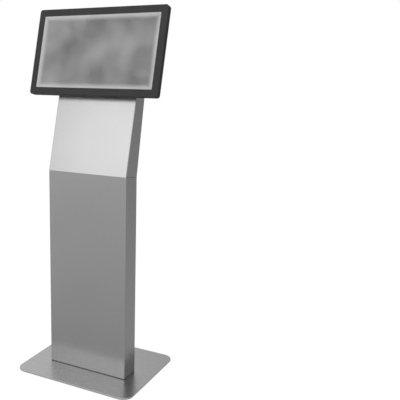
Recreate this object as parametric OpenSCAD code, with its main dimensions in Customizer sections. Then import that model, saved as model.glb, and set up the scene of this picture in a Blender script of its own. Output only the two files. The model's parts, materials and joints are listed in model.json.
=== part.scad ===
// Floor kiosk: a turning touch display on a folded sheet-metal column.
// Millimetres. The origin is the centre of the base's footprint, on the floor.
// X runs to the right as the user sees it, Y to the back and Z up.

/* [Base] */
// Width of the base plate
base_w = 484; // [440:1:560]
// Depth of the base plate
base_d = 400; // [360:1:480]
// Thickness of the base plate
base_t = 6; // [5:0.5:10]
// Radius of the base plate's corners
base_corner_r = 40; // [10:1:60]
// From the base plate's front edge to the column's front
foot_setback = 128; // [100:1:150]
// Diameter of a glide pad
pad_d = 30; // [16:1:40]
// Height of a glide pad
pad_h = 2; // [1:0.5:4]

/* [Column] */
// Width of the column
col_w = 325; // [310:1:360]
// Depth of the lower column
col_d = 84; // [80:1:110]
// Height of the front fold above the base plate
lower_h = 760; // [740:5:900]
// Backward lean of the upper column's front, in degrees
lean = 15; // [10:0.5:20]
// Length of the upper column along its front
upper_len = 604; // [580:1:660]
// Depth of the upper column at its top
top_d = 44; // [36:1:60]
// Thickness of the sheet
sheet_t = 2; // [1.5:0.1:2.5]
// Outer radius of a bend in the sheet
bend_r = 3; // [2.6:0.1:4]
// Width of the flanges that turn in at the back
return_w = 20; // [18:0.5:24]
// Gap between a rear panel and its opening
panel_gap = 2; // [1.5:0.1:3]
// Shadow gap between the column and the base plate
foot_gap = 1; // [0.5:0.1:2]

/* [Rear door] */
// Height of the fixed panel under the door
sill_h = 92; // [85:1:130]
// Height of the service door
door_h = 560; // [500:5:600]
// Depth of the door's folded edges
door_edge = 12; // [10:0.5:14]
// From the door's edge and face to the hinge axis
hinge_in = 6; // [5:0.5:6.5]
// Diameter of a hinge pin
hinge_pin_d = 5; // [4:0.5:6]
// Diameter of the lock's housing
lock_d = 19; // [16:0.5:22]
// Length of the lock's cam from the axis
cam_len = 38; // [34:0.5:40]
// Number of slots in each ventilation field
vent_count = 8; // [3:1:10]
// Length of a ventilation slot
vent_len = 120; // [60:5:160]

/* [Display] */
// Width of the picture area
active_w = 476; // [460:1:500]
// Height of the picture area
active_h = 268; // [250:1:280]
// Width of the bezel beside the picture
bezel_side = 24.8; // [20:0.1:32]
// Width of the bezel above and below the picture
bezel_top = 26.5; // [20:0.1:32]
// Depth of the bezel's rim
rim_d = 22; // [20:0.5:26]
// Outer radius of the bezel's corners
rim_r = 10; // [6:0.5:14]
// Wall of the bezel's rim
rim_wall = 2.5; // [2:0.1:3]
// Thickness of the bezel's front lip
lip_t = 1.5; // [1:0.1:2]
// Front of the display ahead of the column's front
stand_off = 47; // [46:0.5:52]
// Centre of the display below the column's top, along the column
screen_down = 166.5; // [155:0.5:180]
// Width of the chassis flange beside its tray
ledge_side = 15.3; // [11:0.1:40]
// Width of the chassis flange above and below its tray
ledge_top = 13; // [11.5:0.1:28]
// Thickness of the chassis sheet
tray_t = 1.5; // [1:0.1:2]
// Thickness of the touch glass
glass_t = 3; // [2:0.1:4]
// Thickness of the LCD panel
lcd_t = 11.5; // [9:0.5:12]

/* [Pivot] */
// Side of the plate on the column
stator_w = 180; // [170:1:200]
// Side of the plate on the display
rotor_w = 130; // [124:1:134]
// Thickness of both pivot plates
pivot_t = 4; // [3.5:0.1:5]
// Thickness of the friction washer
friction_t = 1.5; // [1:0.1:2]
// Outer diameter of the hollow pivot tube
pivot_d = 40; // [36:1:44]
// Bore of the hollow pivot tube
passage_d = 28; // [24:1:30]
// Spacing of the display's fixing screws
vesa = 100; // [75:25:100]

/* [Keys] */
// Length of a key
key_w = 9; // [7:0.5:11]
// Width of a key
key_d = 4; // [3:0.5:5]
// Spacing of the keys
key_pitch = 17; // [15:0.5:18]
// Travel of a key
key_travel = 0.8; // [0.5:0.1:1]

/* [Hidden] */
$fn = 64;

// General clearances
run_gap = 0.06; // radial clearance of what turns
slip_gap = 0.1; // radial clearance of what is fitted by hand
seat_gap = 0.3; // clearance between a piece and the wall beside it
big = 2000; // longer than anything here, for cutting

// Places of the column
base_top = pad_h + base_t;
front_y = foot_setback - base_d / 2;
back_y = front_y + col_d;
fold_z = base_top + lower_h;
mitre = lean / 2;
back_rise = col_d * tan(mitre);
back_fold_z = fold_z - back_rise;
taper = atan((col_d - top_d) / (upper_len - back_rise));
back_len = (upper_len - back_rise) / cos(taper);
inner_w = col_w - 2 * sheet_t;
open_w = col_w - 2 * return_w;
panel_w = open_w - 2 * panel_gap;

// Places of the rear panels
sill_top = base_top + sill_h;
door_bottom = sill_top + panel_gap;
door_top = door_bottom + door_h;
header_bottom = door_top + panel_gap;
header_top = back_fold_z - 1;
ear_w = 26;
ear_out = return_w - 6;
screw_x = open_w / 2 + ear_out / 2 + 1;
panel_screw_r = 2;
flange_d = door_edge + 2;

// Places of the door and its lock
hinge_x = -(panel_w / 2 - hinge_in);
hinge_y = back_y - hinge_in;
hinge_r = hinge_pin_d / 2;
hinge_end = 2;
collar_r = hinge_r + 2.5;
lock_in = 22;
lock_x = panel_w / 2 - lock_in;
lock_z = door_bottom + door_h / 2;
lock_r = lock_d / 2;
plug_r = lock_r - 3;
lock_face_t = 2;
lock_face_r = lock_r + 2.5;
lock_inner_y = back_y - door_edge - 1;
nut_t = 3;
cam_w = 14;
cam_t = 2.5;
cam_screw_r = 2;
cam_head_r = 4;
cam_head_t = 3;
keeper_w = 14;
keeper_h = 30;
stiffener_w = 34;
stiffener_web = 8;
vent_h = 4;
vent_pitch = 10;
vent_span = (vent_count - 1) * vent_pitch + vent_h;
vent_margin = 40;

// Places of the foot
foot_t = 4;
foot_upstand = 24;
foot_front = front_y + sheet_t;
foot_back = back_y - 2 * sheet_t - 0.5;
foot_y = (foot_front + foot_back) / 2;
foot_bolt_span = [260, 40];
anchor_span = [200, 40];
anchor_r = 5.5;
foot_bolt_r = 4;
bolt_slack = 0.5;
bolt_washer_t = 1.6;
bolt_head_t = 5.3;
pad_inset = 45;

// Places of the knee pieces
gusset_t = 3;
gusset_leg = 90;
gusset_front = 10;
gusset_d = 54;
knee_stud_r = 3;
knee_nut_r = 5.8;
knee_nut_t = 5;
splice_w = 240;
splice_leg = 60;

// Places of the equipment
plate_size = [270, 330];
plate_rise = 420;
plate_z = base_top + plate_rise;
plate_off = 12;
plate_face = front_y + sheet_t + plate_off + sheet_t;
plate_stud_in = [15, 20];
plate_stud_span = [plate_size[0] - 2 * plate_stud_in[0], plate_size[1] - 2 * plate_stud_in[1]];
plate_stud_r = 2.5;
player_size = [190, 44, 190];
player_rise = 45;
player_z = plate_z + player_rise;
supply_size = [150, 38, 62];
supply_drop = 115;
supply_z = plate_z - supply_drop;
fin_pitch = 9;
fin_count = 18;
fin_gap = 3;
fin_margin = 15;
port_size = [16, 9];
port_depth = 4;
port_places = [-70, -45, -10, 25, 60];
strap_t = 1.5;
strap_w = 18;
strap_foot = 15;
strap_screw_r = 2;

// Places of the mains inlet
inlet_x = 70;
inlet_z = base_top + 48;
inlet_face = [36, 62];
inlet_body = [28, 54];
inlet_body_d = 25;
inlet_face_t = 2.5;
socket_size = [21, 15];
socket_drop = 14;
socket_depth = 18.5;
contact_len = 12;
rocker_rise = 14;
rocker_half = 9.3;
rocker_window = [19.2, 14.4];
rocker_axis_in = 3;
rocker_tilt = 8;
rocker_pin_r = 1.2;
rocker_pin_len = 1;

// Places of the display. In its frame Y is 0 on the column's front and falls towards the user.
screen_up = upper_len - screen_down;
disp_w = active_w + 2 * bezel_side;
disp_h = active_h + 2 * bezel_top;
face_y = -stand_off;
rim_back = face_y + rim_d;
glass_front = face_y + lip_t;
glass_back = glass_front + glass_t;
gasket_t = 1;
lcd_front = glass_back + gasket_t;
lcd_back = lcd_front + lcd_t;
pocket_w = disp_w - 2 * rim_wall;
pocket_h = disp_h - 2 * rim_wall;
tray_w = pocket_w - 2 * ledge_side;
tray_h = pocket_h - 2 * ledge_top;
glass_lap = 10;
lcd_lap = 10;
gasket_w = 4.5;
boss_r = 4;
boss_in = 5.2;
boss_screw_r = 1.5;
boss_x = pocket_w / 2 - boss_in;
boss_z = pocket_h / 2 - boss_in - 0.8;
boss_mid = 90;
boss_points = [
    for (sz = [-1, 1]) for (x = [-boss_x, -boss_mid, boss_mid, boss_x]) [x, sz * boss_z],
    [-boss_x, 0], [boss_x, 0]
];
main_board_size = [150, 120];
driver_board_size = [110, 90];
board_x = 150;
board_post_len = 5;

// Places of the pivot
wall_hole_r = pivot_d / 2 + 4;
tube_r = pivot_d / 2;
passage_r = passage_d / 2;
rotor_back = -pivot_t - friction_t;
rotor_front = rotor_back - pivot_t;
bush_flange_t = 2;
bush_flange_r = wall_hole_r + 10;
thrust_t = 1.5;
spring_t = 1;
spring_h = 3;
ring_nut_t = 7.5;
ring_nut_r = tube_r + 10;
thrust_y = sheet_t + bush_flange_t;
spring_y = thrust_y + thrust_t;
ring_y = spring_y + spring_h;
tube_end = ring_y + ring_nut_t + 0.5;
friction_in = wall_hole_r + 5;
stop_arc_r = rotor_w / 2 - 8;
stop_pin_r = 3;
stop_slack = 0.2;
friction_out = stop_arc_r - stop_pin_r - stop_slack - 2.5;
stator_screw_r = 2.5;
stator_screw_in = 12;
weld_nut_t = 4;
vesa_screw_r = 2;
vesa_head_r = 4;
vesa_boss_r = 6;
vesa_boss_len = 6;

// Places of the keys
key_count = 5;
key_side_in = 100;
key_wall = -disp_h / 2 + rim_wall;
key_mid_y = (glass_back + lcd_back) / 2;
key_x0 = tray_w / 2 - key_side_in;
key_proud = 1;
key_slack = 0.3;
key_flange_t = 1;
key_flange_over = 1.2;
key_stem = 2;
switch_gap = 0.4;
switch_t = 2.5;
pcb_t = 1.6;
key_pcb_z = key_wall + key_flange_t + key_stem + key_travel + switch_gap + switch_t;

// Outline with rounded corners, centred
module rounded_rect(w, h, r) {
    square([w - 2 * r, h], center = true);
    square([w, h - 2 * r], center = true);
    for (x = [-1, 1])
        for (y = [-1, 1])
            translate([x * (w / 2 - r), y * (h / 2 - r)])
                circle(r);
}

// Slot with round ends, centred, along X
module slot_2d(len, wid) {
    square([len - wid, wid], center = true);
    for (x = [-1, 1])
        translate([x * (len - wid) / 2, 0])
            circle(wid / 2);
}

// Upright slab of an outline, from depth y0 to depth y1
module slab(y0, y1) {
    translate([0, y1, 0])
        rotate([90, 0, 0])
            linear_extrude(y1 - y0)
                children();
}

// Rod along Y, from y0 to y1
module rod_y(r, y0, y1, fn = 64) {
    translate([0, y1, 0])
        rotate([90, 0, 0])
            cylinder(r = r, h = y1 - y0, $fn = fn);
}

// Solid of a side view in Y and Z, w wide and centred on X
module side_solid(w) {
    rotate([90, 0, 90])
        linear_extrude(w, center = true)
            children();
}

// Frame of the leaning front: Z runs up the front from the fold, Y goes into the column
module leaned() {
    translate([0, front_y, fold_z])
        rotate([-lean, 0, 0])
            children();
}

// Frame of the leaning back: Z runs up the back from its fold, Y goes out of the column
module backed() {
    translate([0, back_y, back_fold_z])
        rotate([-(lean - taper), 0, 0])
            children();
}

// Frame of the display's centre on the column's front
module at_screen() {
    leaned()
        translate([0, 0, screen_up])
            children();
}

// Places its children at the four corners of a w by h pattern in X and Z
module four_xz(w, h) {
    for (x = [-1, 1])
        for (z = [-1, 1])
            translate([x * w / 2, 0, z * h / 2])
                children();
}

// Places its children at the four corners of a pattern in X and Y
module four_xy(span) {
    for (x = [-1, 1])
        for (y = [-1, 1])
            translate([x * span[0] / 2, y * span[1] / 2, 0])
                children();
}

// Field of ventilation slots, cut through a sheet whose outside is at Y = 0
module vent_field(bottom) {
    for (i = [0 : vent_count - 1])
        translate([0, 0, bottom + vent_h / 2 + i * vent_pitch])
            slab(-sheet_t - 1, 1)
                slot_2d(vent_len, vent_h);
}

// Base

module base_plate() {
    color("#9a9a9a")
        difference() {
            translate([0, 0, pad_h])
                linear_extrude(base_t)
                    rounded_rect(base_w, base_d, base_corner_r);
            translate([0, foot_y, 0]) {
                four_xy(foot_bolt_span)
                    cylinder(r = foot_bolt_r, h = big, center = true);
                four_xy(anchor_span)
                    cylinder(r = anchor_r, h = big, center = true);
            }
        }
}

module glide_pads() {
    color("#1c1c1c")
        four_xy([base_w - 2 * pad_inset, base_d - 2 * pad_inset])
            cylinder(d = pad_d, h = pad_h);
}

// Tray in the column's bottom, with upstands welded to the shell
module column_foot() {
    foot_w = inner_w;
    foot_len = foot_back - foot_front;
    color("#6f6f6f")
        translate([0, foot_front, base_top])
            difference() {
                translate([-foot_w / 2, 0, 0])
                    cube([foot_w, foot_len, foot_upstand]);
                translate([-foot_w / 2 + foot_t, foot_t, foot_t])
                    cube([foot_w - 2 * foot_t, big, big]);
                translate([0, foot_len / 2, 0]) {
                    four_xy(foot_bolt_span)
                        cylinder(r = foot_bolt_r + bolt_slack, h = big, center = true);
                    four_xy(anchor_span)
                        cylinder(r = anchor_r, h = big, center = true);
                }
                // The shell's bend is rounded inside, so the tray's front corners are cut back
                for (s = [-1, 1])
                    translate([s * foot_w / 2, 0, 0])
                        cylinder(r = bend_r, h = big, center = true);
            }
}

module foot_bolts() {
    seat_z = base_top + foot_t;
    color("#b8b8b8")
        translate([0, foot_y, 0])
            four_xy(foot_bolt_span) {
                translate([0, 0, pad_h])
                    cylinder(r = foot_bolt_r, h = seat_z + bolt_washer_t + bolt_head_t / 2 - pad_h);
                translate([0, 0, seat_z])
                    cylinder(r = 2 * foot_bolt_r, h = bolt_washer_t);
                translate([0, 0, seat_z + bolt_washer_t])
                    cylinder(r = 7.5, h = bolt_head_t, $fn = 6);
            }
}

// Column

// Everything above the mitre plane through the fold
module above_mitre() {
    translate([0, front_y, fold_z])
        rotate([-mitre, 0, 0])
            translate([-big / 2, -big / 2, 0])
                cube(big);
}

// Plan of the lower column, drawn inset from its outside
module lower_plan(inset) {
    translate([0, front_y + col_d / 2])
        rounded_rect(col_w - 2 * inset, col_d - 2 * inset, bend_r - inset);
}

module lower_shell() {
    bottom = base_top + foot_gap;
    color("#8a8a8a")
        difference() {
            translate([0, 0, bottom])
                linear_extrude(fold_z - bottom)
                    lower_plan(0);
            linear_extrude(big)
                lower_plan(sheet_t);
            translate([-open_w / 2, back_y - 2 * sheet_t, 0])
                cube([open_w, 4 * sheet_t, big]);
            above_mitre();
            translate([0, back_y, 0])
                panel_screw_points(concat(sill_levels, header_levels))
                    rod_y(panel_screw_r + slip_gap, -sheet_t - 1, 1);
        }
}

// Tapered body of the upper column, inset from its outside and z_cut short of its top
module upper_body(inset, z_cut) {
    r = bend_r - inset;
    w = col_w - 2 * inset;
    foot = inset > 0 ? -big / 10 : 0;
    intersection() {
        leaned()
            side_solid(w)
                polygon([
                    [inset, foot],
                    [inset, upper_len - z_cut],
                    [col_d, upper_len - z_cut],
                    [col_d, foot == 0 ? back_rise : foot]
                ]);
        leaned()
            translate([0, inset + big / 2, -big / 2])
                linear_extrude(big + upper_len)
                    rounded_rect(w, big, r);
        backed()
            translate([0, -inset - big / 2, -big / 2])
                linear_extrude(big + upper_len)
                    rounded_rect(w, big, r);
    }
}

module upper_shell() {
    color("#c9c9c9")
        difference() {
            upper_body(0, sheet_t);
            upper_body(sheet_t, -1);
            backed() {
                translate([-open_w / 2, -2 * sheet_t, -big / 2])
                    cube([open_w, 4 * sheet_t, big]);
                panel_screw_points(cover_levels)
                    rod_y(panel_screw_r + slip_gap, -sheet_t - 1, 1);
            }
            at_screen() {
                rod_y(wall_hole_r + slip_gap, -1, sheet_t + 1);
                four_xz(stator_w - 2 * stator_screw_in, stator_w - 2 * stator_screw_in)
                    rod_y(stator_screw_r + slip_gap, -1, sheet_t + 1);
            }
        }
}

// Point of the leaned frame, as Y and Z from the front fold
function lean_point(y, z) = [y * cos(lean) + z * sin(lean), -y * sin(lean) + z * cos(lean)];

// Side view of a piece bent at the fold, from depth y0 to y1, with legs of one length
module bent_view(y0, y1, leg) {
    polygon([
        [y0, -leg],
        [y0, -y0 * tan(mitre)],
        lean_point(y0, leg),
        lean_point(y1, leg),
        [y1, -y1 * tan(mitre)],
        [y1, -leg]
    ]);
}

// Plates inside the side walls, across the fold
module knee_gussets() {
    color("#6f6f6f")
        difference() {
            for (s = [-1, 1])
                translate([s * (inner_w - gusset_t) / 2, front_y, fold_z])
                    side_solid(gusset_t)
                        bent_view(gusset_front, gusset_front + gusset_d, gusset_leg);
            knee_points()
                rotate([0, 90, 0])
                    cylinder(r = knee_stud_r + slip_gap, h = big, center = true);
        }
}

// Places its children at the knee's fixing points, on the centre plane
module knee_points() {
    for (y = [gusset_front + 12, gusset_front + gusset_d - 12]) {
        translate([0, front_y + y, fold_z - gusset_leg + 20])
            children();
        leaned()
            translate([0, y, gusset_leg - 20])
                children();
    }
}

// Studs welded to the side walls, each with its nut
module knee_studs() {
    nut_x = inner_w / 2 - gusset_t - knee_nut_t;
    color("#b8b8b8")
        for (s = [0, 1])
            mirror([s, 0, 0])
                knee_points() {
                    translate([nut_x - 2, 0, 0])
                        rotate([0, 90, 0])
                            cylinder(r = knee_stud_r, h = inner_w / 2 - nut_x + 2);
                    translate([nut_x, 0, 0])
                        rotate([0, 90, 0])
                            cylinder(r = knee_nut_r, h = knee_nut_t, $fn = 6);
                }
}

// Bent strip behind the front fold
module knee_splice() {
    color("#6f6f6f")
        translate([0, front_y, fold_z])
            side_solid(splice_w)
                bent_view(sheet_t, 2 * sheet_t, splice_leg);
}

// Lid on the column, with strips that locate it inside the walls
module top_cap() {
    skirt = 12;
    strip_t = 1.5;
    lid_z = upper_len - sheet_t;
    side_start = sheet_t + bend_r;
    color("#bdbdbd") {
        intersection() {
            upper_body(0, 0);
            leaned()
                translate([-big / 2, -big / 2, lid_z])
                    cube([big, big, 2 * sheet_t]);
        }
        leaned() {
            translate([-inner_w / 2 + bend_r, sheet_t + seat_gap, lid_z - skirt])
                cube([inner_w - 2 * bend_r, strip_t, skirt + sheet_t / 2]);
            for (s = [0, 1])
                mirror([s, 0, 0])
                    translate([inner_w / 2 - seat_gap - strip_t, side_start, lid_z - skirt])
                        cube([strip_t, top_d - 3 * sheet_t - side_start, skirt + sheet_t / 2]);
        }
    }
}

// Rear panels

// Flush sheet with ears that reach behind the column's flanges. Its outside is at Y = 0.
module flush_panel(bottom, top) {
    ear_end = 4;
    translate([-panel_w / 2, -sheet_t, bottom])
        cube([panel_w, sheet_t, top - bottom]);
    for (s = [0, 1])
        mirror([s, 0, 0])
            translate([open_w / 2 + ear_out - ear_w, -2 * sheet_t, bottom + ear_end])
                cube([ear_w, sheet_t, top - bottom - 2 * ear_end]);
}

// Places its children at a panel's screws, level with its outside
module panel_screw_points(levels) {
    for (x = [-screw_x, screw_x])
        for (z = levels)
            translate([x, 0, z])
                children();
}

// Pan-head screw into the sheet behind a flange. The head sits on Y = 0.
module panel_screw() {
    head_r = 2 * panel_screw_r;
    head_t = 2.4;
    rod_y(panel_screw_r, -2 * sheet_t - 3, head_t / 3);
    difference() {
        rod_y(head_r, 0, head_t);
        slab(head_t - 1, head_t + 1)
            square([head_r * 1.3, 0.8], center = true);
        slab(head_t - 1, head_t + 1)
            square([0.8, head_r * 1.3], center = true);
    }
}

sill_levels = [base_top + 22, sill_top - 18];
header_levels = [header_bottom + 18, header_top - 18];
cover_levels = [30, back_len / 2, back_len - 40];

module rear_sill() {
    color("#8a8a8a")
        difference() {
            union() {
                translate([0, back_y, 0])
                    flush_panel(base_top + foot_gap, sill_top);
                translate([-panel_w / 2, back_y - flange_d, sill_top - sheet_t])
                    cube([panel_w, flange_d, sheet_t]);
            }
            translate([hinge_x, hinge_y, sill_top])
                cylinder(r = hinge_r, h = 4 * sheet_t, center = true);
            translate([0, back_y, 0])
                panel_screw_points(sill_levels)
                    rod_y(panel_screw_r, -big / 10, 1);
            translate([inlet_x, back_y, inlet_z])
                slab(-sheet_t - 1, 1)
                    square([inlet_body[0] + 2 * slip_gap, inlet_body[1] + 2 * slip_gap], center = true);
        }
}

module rear_header() {
    color("#8a8a8a")
        difference() {
            union() {
                translate([0, back_y, 0])
                    flush_panel(header_bottom, header_top);
                translate([-panel_w / 2, back_y - flange_d, header_bottom])
                    cube([panel_w, flange_d, sheet_t]);
            }
            translate([hinge_x, hinge_y, header_bottom])
                cylinder(r = hinge_r, h = 4 * sheet_t, center = true);
            translate([0, back_y, 0])
                panel_screw_points(header_levels)
                    rod_y(panel_screw_r, -big / 10, 1);
        }
}

module panel_screws() {
    color("#d0d0d0")
        translate([0, back_y, 0])
            panel_screw_points(concat(sill_levels, header_levels))
                panel_screw();
}

module upper_cover() {
    cover_top = back_len - sheet_t - 1;
    color("#a8a8a8")
        backed()
            difference() {
                flush_panel(1, cover_top);
                panel_screw_points(cover_levels)
                    rod_y(panel_screw_r, -big / 10, 1);
                vent_field(cover_top - vent_margin - vent_span);
            }
}

module cover_screws() {
    color("#d0d0d0")
        backed()
            panel_screw_points(cover_levels)
                panel_screw();
}

// Pins between the door and the panels above and below it, each with a thrust collar
module hinge_pins() {
    pin_len = 2 * (sheet_t + hinge_end) + panel_gap;
    color("#d0d0d0")
        for (z = [sill_top, door_top])
            translate([hinge_x, hinge_y, z]) {
                translate([0, 0, -sheet_t - hinge_end])
                    cylinder(r = hinge_r, h = pin_len);
                translate([0, 0, slip_gap])
                    cylinder(r = collar_r, h = panel_gap - 2 * slip_gap);
            }
}

// Door

module service_door() {
    color("#8a8a8a")
        difference() {
            translate([-panel_w / 2, back_y - door_edge, door_bottom])
                cube([panel_w, door_edge, door_h]);
            translate([-panel_w / 2 + sheet_t, back_y - big, door_bottom + sheet_t])
                cube([panel_w - 2 * sheet_t, big - sheet_t, door_h - 2 * sheet_t]);
            translate([hinge_x, hinge_y, 0])
                cylinder(r = hinge_r + run_gap, h = big);
            translate([lock_x, 0, lock_z])
                rod_y(lock_r + slip_gap, back_y - 2 * sheet_t, back_y + 1);
            translate([0, back_y, 0]) {
                vent_field(door_bottom + vent_margin);
                vent_field(door_top - vent_margin - vent_span);
            }
        }
}

// Hat section behind the door's sheet, between its ventilation fields
module door_stiffener() {
    bottom = door_bottom + vent_margin + vent_span + 15;
    length = door_h - 2 * (vent_margin + vent_span + 15);
    web = stiffener_w - 2 * stiffener_web;
    color("#6f6f6f")
        translate([0, back_y - sheet_t, bottom])
            linear_extrude(length)
                polygon([
                    [-stiffener_w / 2, 0],
                    [-web / 2 + sheet_t, 0],
                    [-web / 2 + sheet_t, -stiffener_web + sheet_t],
                    [web / 2 - sheet_t, -stiffener_web + sheet_t],
                    [web / 2 - sheet_t, 0],
                    [stiffener_w / 2, 0],
                    [stiffener_w / 2, -sheet_t],
                    [web / 2, -sheet_t],
                    [web / 2, -stiffener_web],
                    [-web / 2, -stiffener_web],
                    [-web / 2, -sheet_t],
                    [-stiffener_w / 2, -sheet_t]
                ]);
}

module lock_housing() {
    color("#c8c8c8")
        translate([lock_x, 0, lock_z])
            difference() {
                union() {
                    rod_y(lock_r, lock_inner_y, back_y + lock_face_t / 2);
                    rod_y(lock_face_r, back_y, back_y + lock_face_t);
                }
                rod_y(plug_r + run_gap, lock_inner_y - 1, back_y + lock_face_t + 1);
            }
}

module lock_nut() {
    color("#b8b8b8")
        translate([lock_x, 0, lock_z])
            difference() {
                rod_y(lock_r + 4, back_y - sheet_t - nut_t, back_y - sheet_t, 6);
                rod_y(lock_r + slip_gap / 2, back_y - big, back_y);
            }
}

module lock_plug() {
    key_slot = [2 * plug_r - 4.5, 1.6];
    color("#d8d8d8")
        translate([lock_x, 0, lock_z])
            difference() {
                rod_y(plug_r, lock_inner_y - slip_gap, back_y + lock_face_t);
                slab(back_y + lock_face_t - 8, back_y + big)
                    square([key_slot[1], key_slot[0]], center = true);
                rod_y(cam_screw_r, lock_inner_y - 1, lock_inner_y + 7);
            }
}

// Points down at rest, which is unlocked, and to the keeper after a quarter turn
module lock_cam() {
    y1 = lock_inner_y - slip_gap;
    color("#b8b8b8")
        translate([lock_x, 0, lock_z])
            difference() {
                slab(y1 - cam_t, y1) {
                    circle(cam_w / 2);
                    translate([-cam_w / 2, -cam_len])
                        square([cam_w, cam_len]);
                }
                rod_y(cam_screw_r, y1 - big / 10, y1 + 1);
            }
}

module cam_screw() {
    y1 = lock_inner_y - slip_gap - cam_t;
    color("#d0d0d0")
        translate([lock_x, 0, lock_z]) {
            rod_y(cam_screw_r, y1 - cam_head_t / 2, lock_inner_y + 6);
            rod_y(cam_head_r, y1 - cam_head_t, y1, 6);
        }
}

// Block behind the column's flange that the cam turns behind
module lock_keeper() {
    color("#6f6f6f")
        translate([open_w / 2 + 1, lock_inner_y + seat_gap, lock_z - keeper_h / 2])
            cube([keeper_w, back_y - sheet_t - lock_inner_y - seat_gap, keeper_h]);
}

// Equipment

module equipment_plate() {
    color("#7a7a7a")
        translate([0, plate_face - sheet_t, plate_z])
            difference() {
                slab(0, sheet_t)
                    rounded_rect(plate_size[0], plate_size[1], 6);
                four_xz(plate_stud_span[0], plate_stud_span[1])
                    rod_y(plate_stud_r + slip_gap, -1, sheet_t + 1);
                translate([0, 0, -plate_z])
                    strap_points()
                        rod_y(strap_screw_r, -1, sheet_t + 1);
            }
}

// Studs on the column's front wall, each with a spacer and a nut
module plate_studs() {
    spacer_r = 5;
    stud_nut_r = 4.6;
    stud_nut_t = 4;
    color("#b8b8b8")
        translate([0, front_y + sheet_t, plate_z])
            four_xz(plate_stud_span[0], plate_stud_span[1]) {
                rod_y(spacer_r, 0, plate_off);
                rod_y(plate_stud_r, 0, plate_off + sheet_t + stud_nut_t + 1.5);
                rod_y(stud_nut_r, plate_off + sheet_t, plate_off + sheet_t + stud_nut_t, 6);
            }
}

module media_player() {
    color("#2a2a2a")
        translate([0, plate_face, player_z])
            difference() {
                translate([-player_size[0] / 2, 0, -player_size[2] / 2])
                    cube(player_size);
                // Cooling grooves in the face towards the door
                for (i = [0 : fin_count - 1])
                    translate([(i - (fin_count - 1) / 2) * fin_pitch, player_size[1], 0])
                        cube([fin_gap, 10, player_size[2] - 2 * fin_margin], center = true);
                // Sockets in the underside
                for (x = port_places)
                    translate([x, player_size[1] / 2, -player_size[2] / 2])
                        cube([port_size[0], port_size[1], 2 * port_depth], center = true);
            }
}

module power_supply() {
    color("#1f1f1f")
        translate([0, plate_face, supply_z])
            slab(0, supply_size[1])
                rounded_rect(supply_size[0], supply_size[2], 5);
}

// Half the clear width of the strap over a block
function strap_half(size) = size[0] / 2 + seat_gap;

// Places its children at the screws of both straps
module strap_points() {
    for (b = [[player_size, player_z], [supply_size, supply_z]])
        for (s = [-1, 1])
            translate([s * (strap_half(b[0]) + (strap_t + strap_foot) / 2), 0, b[1]])
                children();
}

// Strap over a block on the equipment plate, with a foot at each end
module strap(size, z) {
    half = strap_half(size);
    translate([0, plate_face, z])
        linear_extrude(strap_w, center = true)
            difference() {
                union() {
                    translate([-half - strap_t, 0])
                        square([2 * (half + strap_t), size[1] + strap_t]);
                    translate([-half - strap_foot, 0])
                        square([2 * (half + strap_foot), strap_t]);
                }
                translate([-half, -1])
                    square([2 * half, size[1] + 1]);
            }
}

module equipment_straps() {
    color("#6f6f6f")
        difference() {
            union() {
                strap(player_size, player_z);
                strap(supply_size, supply_z);
            }
            translate([0, plate_face, 0])
                strap_points()
                    rod_y(strap_screw_r + slip_gap, -1, strap_t + 1);
        }
}

module strap_screws() {
    head_r = 2 * strap_screw_r;
    head_t = 2.4;
    color("#b8b8b8")
        translate([0, plate_face, 0])
            strap_points() {
                rod_y(strap_screw_r, -sheet_t - 3, strap_t + 0.5);
                difference() {
                    rod_y(head_r, strap_t, strap_t + head_t);
                    rod_y(1.3, strap_t + 1, strap_t + head_t + 1, 6);
                }
            }
}

// Mains inlet with its switch, in the fixed panel at the bottom

module mains_inlet() {
    color("#1c1c1c")
        translate([inlet_x, back_y, inlet_z])
            difference() {
                union() {
                    slab(0, inlet_face_t)
                        rounded_rect(inlet_face[0], inlet_face[1], 4);
                    slab(-inlet_body_d, inlet_face_t / 2)
                        square(inlet_body, center = true);
                }
                translate([0, 0, -socket_drop])
                    slab(inlet_face_t - socket_depth, inlet_face_t + 1)
                        rounded_rect(socket_size[0], socket_size[1], 3);
                translate([0, 0, rocker_rise]) {
                    slab(-rocker_axis_in - 10, inlet_face_t + 1)
                        square(rocker_window, center = true);
                    translate([0, -rocker_axis_in, 0])
                        rotate([0, 90, 0])
                            cylinder(
                                r = rocker_pin_r + run_gap,
                                h = rocker_window[0] + 2 * rocker_pin_len + 1,
                                center = true
                            );
                }
            }
}

module inlet_pins() {
    blade = [2, 4];
    spread = 7;
    root_y = inlet_face_t - socket_depth;
    color("#d8c070")
        translate([inlet_x, back_y, inlet_z - socket_drop])
            for (p = [[-spread, 2], [0, -2], [spread, 2]])
                translate([p[0] - blade[0] / 2, root_y, -p[1] - blade[1] / 2])
                    cube([blade[0], contact_len, blade[1]]);
}

module mains_rocker() {
    color("#2b2b2b")
        translate([inlet_x, back_y - rocker_axis_in, inlet_z + rocker_rise])
            rotate([-rocker_tilt, 0, 0]) {
                side_solid(2 * rocker_half)
                    polygon([[-6, -5.2], [7.2, -6], [5.6, 0], [7.2, 6], [-6, 5.2]]);
                rotate([0, 90, 0])
                    cylinder(r = rocker_pin_r, h = rocker_window[0] + 2 * rocker_pin_len, center = true);
            }
}

// Pivot

// Places its children at the stator plate's four screws
module stator_points() {
    four_xz(stator_w - 2 * stator_screw_in, stator_w - 2 * stator_screw_in)
        children();
}

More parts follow.
